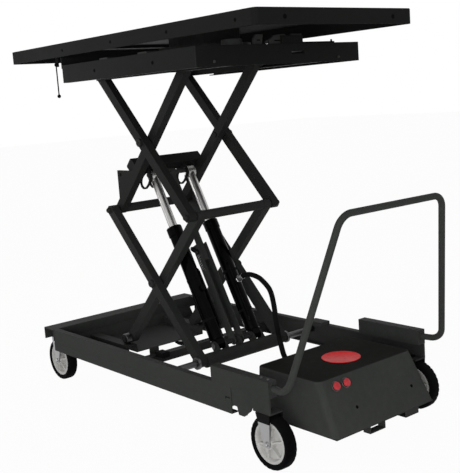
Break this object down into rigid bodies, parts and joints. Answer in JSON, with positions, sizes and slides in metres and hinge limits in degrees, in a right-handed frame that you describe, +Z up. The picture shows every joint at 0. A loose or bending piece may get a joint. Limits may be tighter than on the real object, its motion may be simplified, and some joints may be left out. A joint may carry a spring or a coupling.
{
  "type": "lift table",
  "caption": "Mobile hydraulic lift table: double scissor on a wheeled frame, swivelling tray top, push handle, power unit under a sloping cover",
  "frame": {"origin": "centre of the footprint box on the floor", "axes": "+X along the table towards the push handle, +Y to the left, +Z up"},
  "size_m": [1.9974, 0.87, 1.5992],
  "materials": {
    "painted_frame": "satin anthracite paint",
    "black_paint": "gloss black paint on the rams",
    "chrome_rod": "hard chrome rod",
    "zinc_steel": "zinc plated steel",
    "wheel_grey": "light grey wheel centre",
    "tyre_rubber": "black rubber tread",
    "hose_rubber": "black hydraulic hose",
    "red_plastic": "red plastic",
    "black_plastic": "black moulded plastic"
  },
  "bodies": {
    "base": {"base_rail_left": "painted_frame", "base_rail_right": "painted_frame", "end_channel": "painted_frame", "roller_track": "painted_frame", "cross_member": "painted_frame", "hinge_axle": "zinc_steel", "hinge_tube": "painted_frame", "handle_socket_left": "painted_frame", "handle_socket_right": "painted_frame", "push_handle": "painted_frame", "power_unit_cover": "painted_frame", "cover_disc": "red_plastic", "power_unit_tray": "painted_frame", "battery": "black_plastic", "pump_unit": "zinc_steel", "lift_hose": "hose_rubber"},
    "lower_outer": {"lower_outer_arm_left": "painted_frame", "lower_outer_arm_right": "painted_frame", "tie_tube_mid_left": "painted_frame"},
    "lower_inner": {"lower_inner_arm_left": "painted_frame", "lower_inner_arm_right": "painted_frame", "tie_tube_mid_right": "painted_frame"},
    "upper_inner": {"upper_inner_arm_left": "painted_frame", "upper_inner_arm_right": "painted_frame", "lift_beam": "painted_frame"},
    "upper_outer": {"upper_outer_arm_left": "painted_frame", "upper_outer_arm_right": "painted_frame"},
    "platform": {"platform_side_left": "painted_frame", "platform_side_right": "painted_frame", "platform_end_left": "painted_frame", "platform_end_right": "painted_frame", "platform_bearer_left": "painted_frame", "platform_bearer_right": "painted_frame", "swivel_ring_lower": "painted_frame"},
    "top": {"swivel_ring_upper": "painted_frame", "top_plate": "painted_frame"},
    "release": {"release_rod": "black_plastic"},
    "barrels": {"ram_barrel_left": "black_paint", "ram_barrel_right": "black_paint", "prop_channel": "painted_frame"},
    "rods": {"ram_rod_left": "chrome_rod", "ram_rod_right": "chrome_rod", "prop_bar": "painted_frame"},
    "pawl": {"prop_pawl": "black_plastic"},
    "lower_roller_left": {"lower_roller_left": "zinc_steel"},
    "upper_roller_left": {"upper_roller_left": "zinc_steel"},
    "swivel_fork_left": {"swivel_fork_left": "zinc_steel"},
    "swivel_wheel_left": {"swivel_wheel_left_hub": "wheel_grey", "swivel_wheel_left_tyre": "tyre_rubber"},
    "fixed_wheel_left": {"fixed_wheel_left_hub": "wheel_grey", "fixed_wheel_left_tyre": "tyre_rubber"},
    "lower_roller_right": {"lower_roller_right": "zinc_steel"},
    "upper_roller_right": {"upper_roller_right": "zinc_steel"},
    "swivel_fork_right": {"swivel_fork_right": "zinc_steel"},
    "swivel_wheel_right": {"swivel_wheel_right_hub": "wheel_grey", "swivel_wheel_right_tyre": "tyre_rubber"},
    "fixed_wheel_right": {"fixed_wheel_right_hub": "wheel_grey", "fixed_wheel_right_tyre": "tyre_rubber"},
    "raise_button": {"raise_button": "red_plastic"},
    "lower_button": {"lower_button": "red_plastic"}
  },
  "joints": [
    {"name": "lift", "type": "hinge", "parent": "base", "child": "lower_outer", "pos_m": [0.10561, 0, 0.231], "axis": [0, -1, 0], "range_deg": [0, 38], "deforming": ["lift_hose"]},
    {"name": "lower_centre", "type": "hinge", "parent": "lower_outer", "child": "lower_inner", "pos_m": [-0.18855, 0, 0.53775], "axis": [0, -1, 0], "range_deg": [-76.5, 0.5]},
    {"name": "mid_left", "type": "hinge", "parent": "lower_outer", "child": "upper_inner", "pos_m": [-0.48271, 0, 0.8445], "axis": [0, -1, 0], "range_deg": [-76.5, 0.5]},
    {"name": "mid_right", "type": "hinge", "parent": "lower_inner", "child": "upper_outer", "pos_m": [0.10561, 0, 0.8445], "axis": [0, -1, 0], "range_deg": [-0.5, 76.5]},
    {"name": "top_pivot", "type": "hinge", "parent": "upper_outer", "child": "platform", "pos_m": [-0.48271, 0, 1.45799], "axis": [0, -1, 0], "range_deg": [-38.5, 0.5]},
    {"name": "ram_foot", "type": "hinge", "parent": "base", "child": "barrels", "pos_m": [0.07161, 0, 0.271], "axis": [0, -1, 0], "range_deg": [-0.5, 52.33]},
    {"name": "ram_slide", "type": "slide", "parent": "barrels", "child": "rods", "axis": [-0.4754, 0, 0.8798], "range_m": [-0.232, 0.002]},
    {"name": "top_swivel", "type": "hinge", "parent": "platform", "child": "top", "pos_m": [-0.00521, 0, 1.54219], "axis": [0, 0, 1], "range_deg": [-90, 90]},
    {"name": "release_swing", "type": "hinge", "parent": "top", "child": "release", "pos_m": [-0.82121, -0.255, 1.52419], "axis": [0, -1, 0], "range_deg": [-40, 40]},
    {"name": "prop_pawl", "type": "hinge", "parent": "barrels", "child": "pawl", "pos_m": [-0.13044, -0.0285, 0.6449], "axis": [0, -1, 0], "range_deg": [-25, 5], "stiffness_Nm_per_rad": 1},
    {"name": "lower_roller_left", "type": "hinge", "parent": "lower_inner", "child": "lower_roller_left", "pos_m": [-0.48271, 0.2164, 0.231], "axis": [0, 1, 0], "continuous": true},
    {"name": "upper_roller_left", "type": "hinge", "parent": "upper_inner", "child": "upper_roller_left", "pos_m": [0.10561, 0.2164, 1.45799], "axis": [0, 1, 0], "continuous": true},
    {"name": "caster_left", "type": "hinge", "parent": "base", "child": "swivel_fork_left", "pos_m": [0.70561, 0.398, 0.206], "axis": [0, 0, 1], "continuous": true},
    {"name": "swivel_wheel_left", "type": "hinge", "parent": "swivel_fork_left", "child": "swivel_wheel_left", "pos_m": [0.72561, 0.398, 0.1], "axis": [0, 1, 0], "continuous": true},
    {"name": "fixed_wheel_left", "type": "hinge", "parent": "base", "child": "fixed_wheel_left", "pos_m": [-0.85939, 0.362, 0.1], "axis": [0, 1, 0], "continuous": true},
    {"name": "lower_roller_right", "type": "hinge", "parent": "lower_inner", "child": "lower_roller_right", "pos_m": [-0.48271, -0.2164, 0.231], "axis": [0, 1, 0], "continuous": true},
    {"name": "upper_roller_right", "type": "hinge", "parent": "upper_inner", "child": "upper_roller_right", "pos_m": [0.10561, -0.2164, 1.45799], "axis": [0, 1, 0], "continuous": true},
    {"name": "caster_right", "type": "hinge", "parent": "base", "child": "swivel_fork_right", "pos_m": [0.70561, -0.398, 0.206], "axis": [0, 0, 1], "continuous": true},
    {"name": "swivel_wheel_right", "type": "hinge", "parent": "swivel_fork_right", "child": "swivel_wheel_right", "pos_m": [0.72561, -0.398, 0.1], "axis": [0, 1, 0], "continuous": true},
    {"name": "fixed_wheel_right", "type": "hinge", "parent": "base", "child": "fixed_wheel_right", "pos_m": [-0.85939, -0.362, 0.1], "axis": [0, 1, 0], "continuous": true},
    {"name": "raise_button", "type": "slide", "parent": "base", "child": "raise_button", "axis": [-0.8926, 0, -0.4508], "range_m": [0, 0.004], "stiffness_N_per_m": 400},
    {"name": "lower_button", "type": "slide", "parent": "base", "child": "lower_button", "axis": [-0.8926, 0, -0.4508], "range_m": [0, 0.004], "stiffness_N_per_m": 400}
  ],
  "couplings": [
    {"joint": "lower_centre", "follows": "lift", "ratio": -2},
    {"joint": "mid_left", "follows": "lift", "ratio": -2},
    {"joint": "mid_right", "follows": "lift", "ratio": 2},
    {"joint": "top_pivot", "follows": "lift", "ratio": -1},
    {"joint": "ram_foot", "follows": "lift", "ratio": 1.364},
    {"joint": "ram_slide", "follows": "lift", "m_per_rad": -0.34686}
  ]
}
